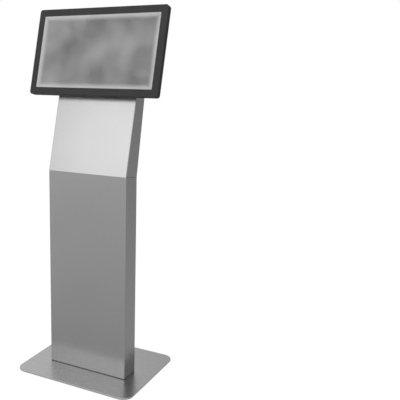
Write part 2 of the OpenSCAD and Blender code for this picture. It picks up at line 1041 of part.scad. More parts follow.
// Plate on the column. The stop pin runs in its curved slot, which starts at the top.
module stator_plate() {
    slot_r = stop_pin_r + stop_slack;
    color("#4a4a4a")
        at_screen()
            difference() {
                slab(-pivot_t, 0)
                    rounded_rect(stator_w, stator_w, 12);
                rod_y(wall_hole_r + slip_gap, -pivot_t - 1, 1);
                stator_points()
                    rod_y(stator_screw_r + slip_gap, -pivot_t - 1, 1);
                slab(-pivot_t - 1, 1) {
                    intersection() {
                        difference() {
                            circle(stop_arc_r + slot_r);
                            circle(stop_arc_r - slot_r);
                        }
                        square(stator_w);
                    }
                    translate([0, stop_arc_r])
                        circle(slot_r);
                    translate([stop_arc_r, 0])
                        circle(slot_r);
                }
            }
}

// Screws through the stator plate and the wall into weld nuts
module stator_screws() {
    head_r = 4.5;
    head_t = 2.8;
    nut_r = 4.6;
    color("#b8b8b8")
        at_screen()
            stator_points() {
                difference() {
                    rod_y(head_r, -pivot_t - head_t, -pivot_t);
                    rod_y(1.7, -pivot_t - head_t - 1, -pivot_t - head_t + 1.6, 6);
                }
                rod_y(stator_screw_r, -pivot_t - 0.5, sheet_t + weld_nut_t + 1.5);
                rod_y(nut_r, sheet_t, sheet_t + weld_nut_t, 6);
            }
}

module pivot_bush() {
    color("#e8e2d0")
        at_screen()
            difference() {
                union() {
                    rod_y(wall_hole_r, -pivot_t, sheet_t + bush_flange_t / 2);
                    rod_y(bush_flange_r, sheet_t, sheet_t + bush_flange_t);
                }
                rod_y(tube_r + run_gap, -big / 10, big / 10);
            }
}

module friction_washer() {
    color("#5b4a3a")
        at_screen()
            difference() {
                rod_y(friction_out, rotor_back, -pivot_t);
                rod_y(friction_in, rotor_back - 1, 1);
            }
}

// Plate on the display, with the hollow tube that runs in the bush
module rotor_plate() {
    head_depth = 2.2;
    color("#555555")
        at_screen()
            difference() {
                union() {
                    slab(rotor_front, rotor_back)
                        rounded_rect(rotor_w, rotor_w, 10);
                    rod_y(tube_r, rotor_back - 1, tube_end);
                }
                rod_y(passage_r, -big / 10, big / 10);
                four_xz(vesa, vesa) {
                    rod_y(vesa_screw_r + slip_gap, -big / 10, 1);
                    translate([0, rotor_back, 0])
                        rotate([90, 0, 0])
                            cylinder(r1 = vesa_head_r + slip_gap, r2 = vesa_screw_r + slip_gap, h = head_depth);
                }
                translate([0, 0, stop_arc_r])
                    rod_y(stop_pin_r, -big / 10, 1);
            }
}

module vesa_screws() {
    head_depth = 2.2;
    color("#b8b8b8")
        at_screen()
            four_xz(vesa, vesa) {
                rod_y(vesa_screw_r, rotor_front - vesa_boss_len, rotor_back - head_depth / 2);
                translate([0, rotor_back, 0])
                    rotate([90, 0, 0])
                        cylinder(r1 = vesa_head_r, r2 = vesa_screw_r, h = head_depth);
            }
}

module stop_pin() {
    color("#d0d0d0")
        at_screen()
            translate([0, 0, stop_arc_r])
                rod_y(stop_pin_r, rotor_front + 0.5, -0.5);
}

module thrust_washer() {
    color("#c0c0c0")
        at_screen()
            difference() {
                rod_y(bush_flange_r - 1, thrust_y, thrust_y + thrust_t);
                rod_y(tube_r + slip_gap / 2, 0, big / 10);
            }
}

// Cone washer that keeps the pivot tight
module disc_spring() {
    wide = ring_nut_r + 2;
    narrow = tube_r + slip_gap;
    color("#8f8f8f")
        at_screen()
            rotate([-90, 0, 0])
                rotate_extrude()
                    polygon([
                        [wide, spring_y],
                        [wide, spring_y + spring_t],
                        [narrow, spring_y + spring_h],
                        [narrow, spring_y + spring_h - spring_t]
                    ]);
}

// Nut with spanner slots
module ring_nut() {
    slots = 6;
    color("#a0a0a0")
        at_screen()
            difference() {
                rod_y(ring_nut_r, ring_y, ring_y + ring_nut_t);
                rod_y(tube_r + slip_gap / 2, 0, big / 10);
                for (i = [0 : slots - 1])
                    rotate([0, i * 360 / slots, 0])
                        translate([0, ring_y - 1, ring_nut_r - 2.5])
                            translate([-2.5, 0, 0])
                                cube([5, ring_nut_t + 2, 10]);
            }
}

// Display

module bezel() {
    inner_r = rim_r - rim_wall;
    color("#3e3e3e")
        at_screen() {
            difference() {
                slab(face_y, rim_back)
                    rounded_rect(disp_w, disp_h, rim_r);
                slab(glass_front, rim_back + 1)
                    rounded_rect(pocket_w, pocket_h, inner_r);
                slab(face_y - 1, glass_front + 1)
                    square([active_w, active_h], center = true);
                key_points()
                    linear_extrude(2 * rim_wall, center = true)
                        slot_2d(key_w + 2 * key_slack, key_d + 2 * key_slack);
            }
            for (p = boss_points)
                translate([p[0], 0, p[1]])
                    difference() {
                        rod_y(boss_r, glass_front - lip_t / 2, lcd_back);
                        rod_y(boss_screw_r, glass_front + 4, lcd_back + 1);
                    }
        }
}

module touch_glass() {
    color("#6a6a6a")
        at_screen()
            slab(glass_front, glass_back)
                rounded_rect(active_w + 2 * glass_lap, active_h + 2 * glass_lap, 4);
}

module glass_gasket() {
    color("#111111")
        at_screen()
            slab(glass_back, lcd_front)
                difference() {
                    square([active_w + 2 * lcd_lap, active_h + 2 * lcd_lap], center = true);
                    square([active_w + 2 * (lcd_lap - gasket_w), active_h + 2 * (lcd_lap - gasket_w)], center = true);
                }
}

module lcd_panel() {
    color("#9a9fa3")
        at_screen()
            slab(lcd_front, lcd_back)
                square([active_w + 2 * lcd_lap, active_h + 2 * lcd_lap], center = true);
}

// Tray behind the display, with a flange inside the bezel's rim
module rear_chassis() {
    hole_r = passage_r + 2;
    tray_r = 12;
    flange_back = lcd_back + tray_t;
    inside_y = rotor_front - tray_t;
    chassis_vents = 12;
    color("#141414")
        at_screen()
            difference() {
                union() {
                    slab(lcd_back, flange_back)
                        rounded_rect(pocket_w - 2 * seat_gap, pocket_h - 2 * seat_gap, rim_r - rim_wall);
                    difference() {
                        slab(flange_back - 0.5, rotor_front)
                            rounded_rect(tray_w, tray_h, tray_r);
                        slab(lcd_back - 1, inside_y)
                            rounded_rect(tray_w - 2 * tray_t, tray_h - 2 * tray_t, tray_r - tray_t);
                    }
                    four_xz(vesa, vesa)
                        rod_y(vesa_boss_r, inside_y - vesa_boss_len, inside_y + 0.5);
                }
                slab(lcd_back - 1, inside_y - vesa_boss_len - 0.5)
                    rounded_rect(tray_w - 2 * tray_t, tray_h - 2 * tray_t, tray_r - tray_t);
                rod_y(hole_r, -big / 10, 0);
                four_xz(vesa, vesa)
                    rod_y(vesa_screw_r, inside_y - vesa_boss_len - 1, 0);
                for (p = boss_points)
                    translate([p[0], 0, p[1]])
                        rod_y(boss_screw_r + slip_gap, lcd_back - 1, flange_back + 1);
                // Slots near the tray's upper and lower edges
                for (s = [-1, 1])
                    for (i = [0 : chassis_vents - 1])
                        translate([(i - (chassis_vents - 1) / 2) * 30, 0, s * (tray_h / 2 - 30)])
                            slab(inside_y - 1, rotor_front + 1)
                                rotate(90)
                                    slot_2d(24, 4);
            }
}

module chassis_screws() {
    head_r = 2.8;
    head_t = 2;
    seat = lcd_back + tray_t;
    color("#2a2a2a")
        at_screen()
            for (p = boss_points)
                translate([p[0], 0, p[1]]) {
                    rod_y(boss_screw_r, lcd_back - 9, seat + 0.5);
                    difference() {
                        rod_y(head_r, seat, seat + head_t);
                        slab(seat + head_t - 0.8, seat + head_t + 1)
                            square([3.6, 0.7], center = true);
                        slab(seat + head_t - 0.8, seat + head_t + 1)
                            square([0.7, 3.6], center = true);
                    }
                }
}

// Circuit board on four posts inside the tray. Each of its parts has a place as a share of the
// board's size, then a width, a height and a thickness.
module tray_board(size, x, parts) {
    post_r = 3;
    post_in = 8;
    seat = rotor_front - tray_t;
    board_back = seat - board_post_len;
    translate([x, 0, 0]) {
        slab(board_back - pcb_t, board_back)
            rounded_rect(size[0], size[1], 3);
        four_xz(size[0] - 2 * post_in, size[1] - 2 * post_in)
            rod_y(post_r, board_back - pcb_t / 2, seat);
        for (p = parts)
            translate([p[0] * size[0], 0, p[1] * size[1]])
                slab(board_back - pcb_t - p[4], board_back - pcb_t / 2)
                    square([p[2], p[3]], center = true);
    }
}

module main_board() {
    color("#1f5a34")
        at_screen()
            tray_board(
                main_board_size,
                -board_x,
                [[-0.13, 0.08, 35, 35, 3], [0.27, 0.29, 18, 18, 2], [0.27, -0.25, 30, 12, 4]]
            );
}

module driver_board() {
    color("#1f5a34")
        at_screen()
            tray_board(
                driver_board_size,
                board_x,
                [[-0.23, 0, 24, 30, 6], [0.18, 0.22, 16, 16, 5], [0.2, -0.24, 20, 12, 5]]
            );
}

// Keys, on the underside of the rim

// Places its children at one key, on the underside's wall, with Z into the display
module at_key(i) {
    translate([key_x0 + i * key_pitch, key_mid_y, key_wall - rim_wall / 2])
        children();
}

module key_points() {
    for (i = [0 : key_count - 1])
        at_key(i)
            children();
}

module key_board() {
    board_len = (key_count - 1) * key_pitch + 14;
    board_mid = key_x0 + (key_count - 1) * key_pitch / 2;
    switch_w = 6;
    color("#1f5a34")
        at_screen() {
            translate([board_mid - board_len / 2, key_mid_y - 6, key_pcb_z])
                cube([board_len, lcd_back - key_mid_y + 6, pcb_t]);
            for (i = [0 : key_count - 1])
                translate([key_x0 + i * key_pitch - switch_w / 2, key_mid_y - switch_w / 2, key_pcb_z - switch_t])
                    cube([switch_w, switch_w, switch_t + pcb_t / 2]);
        }
}

// One key: cap, retaining flange and stem
module key(i) {
    half_wall = rim_wall / 2;
    color("#2c2c2c")
        at_screen()
            at_key(i) {
                translate([0, 0, -half_wall - key_proud])
                    linear_extrude(rim_wall + key_proud + key_flange_t / 2)
                        slot_2d(key_w, key_d);
                translate([0, 0, half_wall])
                    linear_extrude(key_flange_t)
                        slot_2d(key_w + 2 * key_flange_over, key_d + 2 * key_flange_over);
                translate([0, 0, half_wall])
                    cylinder(r = 1.5, h = key_flange_t + key_stem);
            }
}

module power_key() key(4);
module menu_key() key(3);
module up_key() key(2);
module down_key() key(1);
module input_key() key(0);

base_plate();
glide_pads();
column_foot();
foot_bolts();
lower_shell();
upper_shell();
knee_gussets();
knee_splice();
knee_studs();
top_cap();
rear_sill();
rear_header();
panel_screws();
upper_cover();
cover_screws();
hinge_pins();
lock_keeper();
equipment_plate();
plate_studs();
media_player();
power_supply();
equipment_straps();
strap_screws();
mains_inlet();
inlet_pins();
mains_rocker();
stator_plate();
stator_screws();
pivot_bush();
friction_washer();
service_door();
door_stiffener();
lock_housing();
lock_nut();
lock_plug();
lock_cam();
cam_screw();
bezel();
touch_glass();
glass_gasket();
lcd_panel();
rear_chassis();
chassis_screws();
main_board();
driver_board();
key_board();
rotor_plate();
vesa_screws();
stop_pin();
thrust_washer();
disc_spring();
ring_nut();
power_key();
menu_key();
up_key();
down_key();
input_key();
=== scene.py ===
# Looks of a floor kiosk with a turning touch display. Metres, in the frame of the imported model:
# X to the user's right, Y to the back, Z up, with the origin on the floor under the base's centre.
import json
import math

import bmesh
import bpy
from mathutils import Matrix, Vector


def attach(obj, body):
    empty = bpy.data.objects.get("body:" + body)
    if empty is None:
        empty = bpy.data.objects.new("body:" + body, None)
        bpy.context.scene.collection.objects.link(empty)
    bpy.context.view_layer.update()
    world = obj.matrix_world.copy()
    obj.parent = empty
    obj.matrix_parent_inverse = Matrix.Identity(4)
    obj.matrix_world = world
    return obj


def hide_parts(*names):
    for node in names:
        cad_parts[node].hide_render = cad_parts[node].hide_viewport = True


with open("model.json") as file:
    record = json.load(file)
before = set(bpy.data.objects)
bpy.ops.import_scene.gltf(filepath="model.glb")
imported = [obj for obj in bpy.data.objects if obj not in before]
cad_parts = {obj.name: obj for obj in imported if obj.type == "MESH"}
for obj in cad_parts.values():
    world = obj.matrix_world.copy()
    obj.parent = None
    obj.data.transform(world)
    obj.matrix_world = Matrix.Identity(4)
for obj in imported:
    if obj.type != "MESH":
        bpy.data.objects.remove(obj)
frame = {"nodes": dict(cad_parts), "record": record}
nodes = frame["nodes"]
slots = {row["node"]: row["material_slot"] for row in frame["record"]["subparts"]}
bodies = {node: body for body, held in frame["record"]["behaviour"]["bodies"].items() for node in held}
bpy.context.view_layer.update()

# Places repeated from the part: the column's front and bend, its underside just clear of the base
# plate, and the picture area with its centre's distance above the bend, along the leaning front
LEAN = math.radians(15)
FRONT_Y = -0.072
FOLD_Z = 0.768
COLUMN_BOTTOM = 0.009
SCREEN_UP = 0.4375
ACTIVE_W = 0.476
ACTIVE_H = 0.268


def leaned(x, y, z):
    """Point in the frame of the leaning front: z runs up it from the fold, y goes into the column."""
    return Vector((
        x,
        FRONT_Y + y * math.cos(LEAN) + z * math.sin(LEAN),
        FOLD_Z - y * math.sin(LEAN) + z * math.cos(LEAN),
    ))


# Camera, as fitted to the photograph's straight edges. The lens and the sensor are in millimetres.

CAMERA_PLACE = Vector((1.2010, -2.0837, 1.1766))
CAMERA_YAW = -0.54199
CAMERA_PITCH = 0.18582
CAMERA_ROLL = -0.002965
CAMERA_SENSOR = 36.0
CAMERA_LENS = 59.26
CAMERA_SHIFT = (0.2905, -0.0440)
CAMERA_CLIP = (0.05, 60.0)


def make_camera():
    """Camera at the photograph's viewing angle."""
    data = bpy.data.cameras.new("camera")
    data.sensor_width = CAMERA_SENSOR
    data.lens = CAMERA_LENS
    data.shift_x, data.shift_y = CAMERA_SHIFT
    data.clip_start, data.clip_end = CAMERA_CLIP
    camera = bpy.data.objects.new("camera", data)
    bpy.context.scene.collection.objects.link(camera)
    forward = Vector((
        math.sin(CAMERA_YAW) * math.cos(CAMERA_PITCH),
        math.cos(CAMERA_YAW) * math.cos(CAMERA_PITCH),
        -math.sin(CAMERA_PITCH),
    ))
    level = Vector((math.cos(CAMERA_YAW), -math.sin(CAMERA_YAW), 0.0))
    upright = level.cross(forward)
    right = math.cos(CAMERA_ROLL) * level + math.sin(CAMERA_ROLL) * upright
    up = math.cos(CAMERA_ROLL) * upright - math.sin(CAMERA_ROLL) * level
    turn = Matrix((right, up, -forward)).transposed().to_4x4()
    camera.matrix_world = Matrix.Translation(CAMERA_PLACE) @ turn
    bpy.context.scene.camera = camera


# Node helpers

# Face attribute that marks a rounded edge
EDGE = "rounded_edge"
# Ranges for span: all of it, most of a noise's values, and only the middle of them
ALL = (0.0, 1.0)
MOST = (0.3, 0.7)
MIDDLE = (0.35, 0.65)


class Tree:
    """Short calls for building a node tree."""

    # Sockets of the mix node that carry colours
    MIX_A = 6
    MIX_B = 7
    MIX_OUT = 2

    def __init__(self, tree):
        self.tree = tree
        tree.nodes.clear()

    def node(self, kind, inputs=None, **attributes):
        """New node. An input is a plain value, or the socket or node that it comes from."""
        made = self.tree.nodes.new(kind)
        for key, value in attributes.items():
            setattr(made, key, value)
        for key, value in (inputs or {}).items():
            if isinstance(value, bpy.types.Node):
                value = value.outputs[0]
            if isinstance(value, bpy.types.NodeSocket):
                self.tree.links.new(value, made.inputs[key])
            else:
                made.inputs[key].default_value = value
        return made

    def math(self, operation, *values, clamp=False):
        inputs = dict(enumerate(values))
        return self.node("ShaderNodeMath", inputs, operation=operation, use_clamp=clamp).outputs[0]

    def span(self, value, source, target, smooth=False):
        """Maps a value from one range to another, held at the ends."""
        inputs = {
            "Value": value,
            "From Min": source[0],
            "From Max": source[1],
            "To Min": target[0],
            "To Max": target[1],
        }
        kind = "SMOOTHSTEP" if smooth else "LINEAR"
        return self.node("ShaderNodeMapRange", inputs, interpolation_type=kind).outputs["Result"]

    def mix(self, share, a, b):
        """Mixes two colours by a share."""
        inputs = {0: share, self.MIX_A: a, self.MIX_B: b}
        return self.node("ShaderNodeMix", inputs, data_type="RGBA").outputs[self.MIX_OUT]

    def along(self, axis, vector):
        """One coordinate of a vector."""
        return self.node("ShaderNodeSeparateXYZ", {"Vector": vector}).outputs[axis]

    def place(self, shift=(0, 0, 0), turn=(0, 0, 0), stretch=(1, 1, 1)):
        """The part's own coordinates in metres, moved, turned and then stretched."""
        at = self.node("ShaderNodeTexCoord").outputs["Object"]
        for change in ({"Location": shift}, {"Rotation": turn}, {"Scale": stretch}):
            at = self.node("ShaderNodeMapping", {"Vector": at, **change})
        return at.outputs[0]

    def noise(self, vector, scale=1.0, detail=3.0, rough=0.5):
        inputs = {"Vector": vector, "Scale": scale, "Detail": detail, "Roughness": rough}
        return self.node("ShaderNodeTexNoise", inputs).outputs["Fac"]

    def bump(self, height, strength, distance):
        inputs = {"Height": height, "Strength": strength, "Distance": distance}
        return self.node("ShaderNodeBump", inputs).outputs[0]

    def seen(self):
        """1 for rays that see things directly, mirrored or through glass, 0 for rays that light them."""
        rays = self.node("ShaderNodeLightPath").outputs
        total = rays["Is Camera Ray"]
        for kind in ("Is Glossy Ray", "Is Transmission Ray"):
            total = self.math("ADD", total, rays[kind], clamp=True)
        return total

    def surface(self, shader):
        self.node("ShaderNodeOutputMaterial", {"Surface": shader})

    def principled(self, inputs):
        """Makes the surface a principled shader with these inputs."""
        self.surface(self.node("ShaderNodeBsdfPrincipled", inputs))


def grey(value):
    """Linear grey."""
    return (value, value, value, 1.0)


def scaled(colour, factor, more=0.0):
    """The colour, darker or lighter by a factor and a little more."""
    return tuple(min(1.0, part * factor + more) for part in colour[:3]) + (1.0,)


def new_material(name, colour):
    made = bpy.data.materials.new(name)
    made.use_nodes = True
    made.diffuse_color = colour
    return made, Tree(made.node_tree)


def worn(t, colour, edge_colour, amount):
    """The colour, rubbed lighter in broken patches on the rounded edges."""
    edge = t.node("ShaderNodeAttribute", attribute_name=EDGE).outputs["Fac"]
    broken = t.span(t.noise(t.place(), scale=70.0, detail=5.0, rough=0.6), (0.42, 0.62), (0.0, amount))
    return t.mix(t.math("MULTIPLY", edge, broken), colour, edge_colour)


# Materials

# The silver coat: its tones, its roughness, and the heights above the floor where scuffs fade out
COAT_DARK = 0.345
COAT_LIGHT = 0.365
COAT_ROUGH = (0.245, 0.270)
SCUFFED = (0.02, 0.12)
# Share of the lighter colour in the worn patches of metal edges
METAL_WEAR = 0.4
# Rubbed plastic and matte paint are lighter by a factor and a little more
RUBBED = 1.9
RUBBED_MORE = 0.01
# Painted shade in the column's joints, standing in for the shadow in the gap at its foot and in the side
# seams at the bend: its tone, and its share at the foot's front, at the foot's sides and in the side seams.
# It fades out between two distances, from the column's underside and from the seam.
JOINT_SHADE = 0.03
JOINT_SHADE_FRONT = 0.9
JOINT_SHADE_SIDE = 0.45
JOINT_SHADE_SEAM = 0.7
FOOT_FADE = (0.0007, 0.0017)
SEAM_FADE = (0.0006, 0.0011)
# The sides begin between these distances behind the column's front
SIDE_START = (0.001, 0.003)


def painted_joint_shade(t, at):
    """Share of painted shade in the column's joints, at its foot and in the side seams at the bend,
    standing in for the shadow in the gaps.
    """
    side = t.span(t.math("SUBTRACT", t.along("Y", at), FRONT_Y), SIDE_START, ALL)
    foot_share = t.span(side, ALL, (JOINT_SHADE_FRONT, JOINT_SHADE_SIDE))
    foot = t.span(t.math("SUBTRACT", t.along("Z", at), COLUMN_BOTTOM), FOOT_FADE, (foot_share, 0.0))
    bend = t.place(shift=(0, -FRONT_Y, -FOLD_Z), turn=(LEAN / 2, 0, 0))
    seam = t.span(t.math("ABSOLUTE", t.along("Z", bend)), SEAM_FADE, (JOINT_SHADE_SEAM, 0.0))
    return t.math("MAXIMUM", foot, t.math("MULTIPLY", seam, side))


def coated_metal(name, joined):
    """Satin silver coat: fine orange peel, slow drift in tone and roughness, scuffs near the floor."""
    m, t = new_material(name, grey(COAT_LIGHT))
    at = t.place()
    drift = t.noise(at, scale=2.2)
    fleck = t.noise(at, scale=1400.0, detail=1.0)
    rubbing = t.noise(t.place(stretch=(14, 14, 60)), scale=3.0, detail=5.0, rough=0.65)
    scuff = t.span(rubbing, (0.60, 0.72), (0.0, 0.35))
    near_floor = t.span(t.along("Z", at), SCUFFED, (1.0, 0.0))
    peel = t.noise(at, scale=520.0, detail=1.0, rough=0.4)
    tone = t.mix(t.span(drift, MIDDLE, ALL), grey(COAT_DARK), grey(COAT_LIGHT))
    tone = t.mix(t.span(fleck, MOST, (0.0, 0.06)), tone, grey(COAT_LIGHT * 1.25))
    tone = t.mix(t.math("MULTIPLY", near_floor, scuff), tone, grey(COAT_DARK * 0.6))
    tone = worn(t, tone, grey(COAT_LIGHT * 1.35), METAL_WEAR)
    if joined:
        # Painted shade: the joints at the foot and in the side seams are darkened in place of their shadow
        tone = t.mix(painted_joint_shade(t, at), tone, grey(JOINT_SHADE))
    t.principled({
        "Base Color": tone,
        "Metallic": 0.8,
        "Roughness": t.span(t.noise(at, scale=5.0, detail=2.0), MOST, COAT_ROUGH),
        "Normal": t.bump(peel, strength=0.05, distance=0.0002),
    })
    return m


def brushed_plate(name, value):
    """Satin stainless plate, brushed along X, with its upright edge faces painted lighter as a painted
    highlight in place of the light they catch.
    """
    m, t = new_material(name, grey(value))
    grain = t.noise(t.place(stretch=(4, 900, 900)), detail=4.0, rough=0.7)
    streak = t.noise(t.place(stretch=(1.2, 110, 110)), rough=0.6)
    smear = t.noise(t.place(), scale=7.0, detail=4.0, rough=0.55)
    flatness = t.math("ABSOLUTE", t.along("Z", t.node("ShaderNodeTexCoord").outputs["Normal"]))
    tone = t.mix(t.span(streak, MOST, ALL), grey(value * 0.97), grey(value * 1.03))
    tone = t.mix(t.span(smear, (0.45, 0.75), (0.0, 0.25)), tone, grey(value * 0.88))
    # Painted highlight: faces that don't point up or down are lighter, standing in for light on the plate's
    # edge
    tone = t.mix(t.span(flatness, (0.3, 0.8), (1.0, 0.0)), tone, grey(value * 1.3))
    brushed = t.span(grain, MOST, (0.23, 0.29))
    smeared = t.span(smear, (0.4, 0.7), (0.0, 0.04))
    t.principled({
        "Base Color": worn(t, tone, grey(value * 1.3), METAL_WEAR),
        "Metallic": 1.0,
        "Roughness": t.math("ADD", brushed, smeared),
        "Normal": t.bump(grain, strength=0.04, distance=0.0002),
    })
    return m


def galvanised(name, value):
    """Zinc-coated sheet with faint crystals."""
    m, t = new_material(name, grey(value))
    at = t.place()
    crystals = t.node("ShaderNodeTexVoronoi", {"Vector": at, "Scale": 95.0}).outputs["Color"]
    shade = t.node("ShaderNodeSeparateColor", {"Color": crystals}).outputs[0]
    tone = t.mix(shade, grey(value * 0.86), grey(value * 1.12))
    t.principled({
        "Base Color": worn(t, tone, grey(value * 1.4), METAL_WEAR),
        "Metallic": 1.0,
        "Roughness": t.span(shade, ALL, (0.34, 0.50)),
        "Normal": t.bump(t.noise(at, scale=300.0), strength=0.08, distance=0.0003),
    })
    return m


def bright_metal(name, colour, rough):
    """Plated small metal, turned or pressed, with fine scratches. Its roughness is a range."""
    m, t = new_material(name, colour)
    scratch = t.noise(t.place(stretch=(600, 60, 600)), rough=0.7)
    stain = t.noise(t.place(), scale=160.0)
    t.principled({
        "Base Color": t.mix(t.span(stain, (0.45, 0.7), (0.0, 0.7)), colour, scaled(colour, 0.72)),
        "Metallic": 1.0,
        "Roughness": t.span(scratch, MOST, rough),
        "Normal": t.bump(scratch, strength=0.08, distance=0.0001),
    })
    return m


def moulded(name, low, high, rough, grain_scale, grain, wear, metallic=0.0, gloss=0.5):
    """Plastic, rubber or matte paint with a fine grain, and edges rubbed lighter."""
    m, t = new_material(name, high)
    at = t.place()
    tone = t.mix(t.span(t.noise(at, scale=18.0), MIDDLE, ALL), low, high)
    rubbed = scaled(high, RUBBED, RUBBED_MORE)
    t.principled({
        "Base Color": worn(t, tone, rubbed, wear),
        "Metallic": metallic,
        "Roughness": t.span(t.noise(at, scale=45.0), MOST, (rough - 0.04, rough + 0.06)),
        "Specular IOR Level": gloss,
        "Normal": t.bump(t.noise(at, grain_scale, detail=2.0), grain, distance=0.0004),
    })
    return m


def fibre(name):
    """Pressed friction fibre with short dark strands."""
    m, t = new_material(name, (0.20, 0.15, 0.11, 1.0))
    dark = (0.10, 0.07, 0.05, 1.0)
    light = (0.26, 0.20, 0.15, 1.0)
    strands = t.noise(t.place(stretch=(500, 500, 1500)), detail=4.0, rough=0.7)
    t.principled({
        "Base Color": t.mix(t.span(strands, MIDDLE, ALL), dark, light),
        "Roughness": 0.85,
        "Normal": t.bump(strands, strength=0.3, distance=0.0003),
    })
    return m


def circuit(name):
    """Green solder resist over a pattern of tracks."""
    m, t = new_material(name, (0.05, 0.22, 0.09, 1.0))
    tracks = t.node("ShaderNodeTexBrick", {
        "Vector": t.place(turn=(math.pi / 2, 0, 0)),
        "Color1": (0.030, 0.16, 0.06, 1.0),
        "Color2": (0.045, 0.20, 0.08, 1.0),
        "Mortar": (0.09, 0.30, 0.13, 1.0),
        "Scale": 160.0,
        "Mortar Size": 0.05,
    }).outputs
    t.principled({
        "Base Color": tracks["Color"],
        "Roughness": 0.35,
        "Normal": t.bump(tracks["Fac"], strength=0.2, distance=0.0001),
    })
    return m


def clear_glass(name):
    """Touch glass, finely etched against glare, with faint smears."""
    m, t = new_material(name, (0.85, 0.87, 0.88, 0.35))
    smear = t.noise(t.place(), scale=6.0, detail=4.0, rough=0.6)
    t.principled({
        "Base Color": grey(0.98),
        "Roughness": t.span(smear, MOST, (0.28, 0.34)),
        "IOR": 1.2,
        "Transmission Weight": 1.0,
    })
    return m


# Tones of the picture on the panel, and the width, tone and strength of its lighter border
PICTURE_DARK = 0.142
PICTURE_LIGHT = 0.292
BORDER_WIDTH = 0.023
BORDER_TONE = 0.60
BORDER_SHARE = 0.7


def lit_panel(name):
    """LCD panel. Its front shows a generic soft grey pattern, lighter along its border."""
    m, t = new_material(name, grey(0.25))
    at = t.place(shift=tuple(-leaned(0, 0, SCREEN_UP)), turn=(LEAN, 0, 0))
    near_edge = [
        t.span(t.math("ABSOLUTE", t.along(axis, at)), (size / 2 - BORDER_WIDTH, size / 2), ALL, smooth=True)
        for axis, size in (("X", ACTIVE_W), ("Z", ACTIVE_H))
    ]
    border = t.math("MULTIPLY", t.math("MAXIMUM", *near_edge), BORDER_SHARE)
    cloud = t.noise(at, scale=11.0, detail=1.0, rough=0.4)
    picture = t.mix(t.span(cloud, MOST, ALL), grey(PICTURE_DARK), grey(PICTURE_LIGHT))
    backward = t.along("Y", t.node("ShaderNodeNewGeometry").outputs["Normal"])
    t.principled({
        "Base Color": grey(0.02),
        "Roughness": t.span(t.noise(at, scale=60.0), MOST, (0.70, 0.80)),
        "Specular IOR Level": 0.1,
        "Emission Color": t.mix(border, picture, grey(BORDER_TONE)),
        "Emission Strength": t.span(backward, (-0.9, -0.8), (1.0, 0.0)),
    })
    return m


# Each slot's kind of material, and what sets it apart from others of its kind
LOOKS = {
    "base_steel": (brushed_plate, dict(value=0.45)),
    "lower_paint": (coated_metal, dict(joined=True)),
    "upper_paint": (coated_metal, dict(joined=True)),
    "rear_paint": (coated_metal, dict(joined=False)),
    "inner_steel": (galvanised, dict(value=0.45)),
    "fastener": (bright_metal, dict(colour=(0.62, 0.62, 0.63, 1.0), rough=(0.22, 0.38))),
    "lock_metal": (bright_metal, dict(colour=(0.72, 0.72, 0.73, 1.0), rough=(0.10, 0.22))),
    "pad_rubber": (moulded, dict(
        low=grey(0.018), high=grey(0.026), rough=0.80, grain_scale=900.0, grain=0.2, wear=0.1,
    )),
    "pivot_steel": (moulded, dict(
        low=grey(0.016), high=grey(0.024), rough=0.48, grain_scale=700.0, grain=0.12, wear=0.5,
        metallic=0.3,
    )),
    "bush_plastic": (moulded, dict(
        low=(0.66, 0.62, 0.53, 1.0), high=(0.74, 0.70, 0.61, 1.0), rough=0.40, grain_scale=300.0,
        grain=0.05, wear=0.0,
    )),
    "friction_fibre": (fibre, {}),
    "bezel_black": (moulded, dict(
        low=grey(0.020), high=grey(0.024), rough=0.55, grain_scale=1300.0, grain=0.08, wear=0.35,
        gloss=0.26,
    )),
    "screen_glass": (clear_glass, {}),
    "gasket_foam": (moulded, dict(
        low=grey(0.010), high=grey(0.016), rough=0.92, grain_scale=1100.0, grain=0.5, wear=0.0,
    )),
    "lcd": (lit_panel, {}),
    "chassis_black": (moulded, dict(
        low=grey(0.014), high=grey(0.020), rough=0.55, grain_scale=900.0, grain=0.15, wear=0.5,
        metallic=0.3,
    )),
    "board_green": (circuit, {}),
    "key_black": (moulded, dict(
        low=grey(0.020), high=grey(0.028), rough=0.45, grain_scale=1100.0, grain=0.12, wear=0.5,
    )),
    "equipment_black": (moulded, dict(
        low=grey(0.020), high=grey(0.028), rough=0.50, grain_scale=900.0, grain=0.2, wear=0.5,
    )),
    "contact_brass": (bright_metal, dict(colour=(0.70, 0.52, 0.22, 1.0), rough=(0.15, 0.30))),
}


def dress_nodes(materials):
    """Gives each carried-over node the material of its slot."""
    for name, piece in nodes.items():
        piece.data.materials.clear()
        piece.data.materials.append(materials[slots[name]])


# Rounded edges

# Width of the rounding on each node that shows
ROUNDED = {
    "base_plate": 0.0007,
    "lower_shell": 0.0006,
    "upper_shell": 0.0006,
    "top_cap": 0.0004,
    "rear_sill": 0.0004,
    "rear_header": 0.0004,
    "upper_cover": 0.0004,
    "service_door": 0.0005,
    "bezel": 0.0006,
    "rear_chassis": 0.0004,
    "stator_plate": 0.0004,
    "rotor_plate": 0.0004,
    "media_player": 0.0006,
    "power_supply": 0.0008,
    "mains_inlet": 0.0003,
    "mains_rocker": 0.0003,
    "equipment_plate": 0.0003,
    "equipment_straps": 0.0002,
    "column_foot": 0.0004,
    "lock_housing": 0.0004,
    **{key + "_key": 0.0003 for key in ("power", "menu", "up", "down", "input")},
}
# Points nearer than this are one point
SAME_POINT = 1e-6
# Hair of room around each piece
CLEARANCE = 0.00002
# Faces that meet at less than FLAT become one. Edges sharper than SHARP are rounded where they are
# longer than SHORTEST times the rounding's width, and edges sharper than CREASE keep a hard shade.
FLAT = math.radians(0.8)
SHARP = math.radians(35)
SHORTEST = 2.5
CREASE = math.radians(28)
# How strongly large faces steer the shading over small ones, where 50 is evenly
FACE_WEIGHT = 90


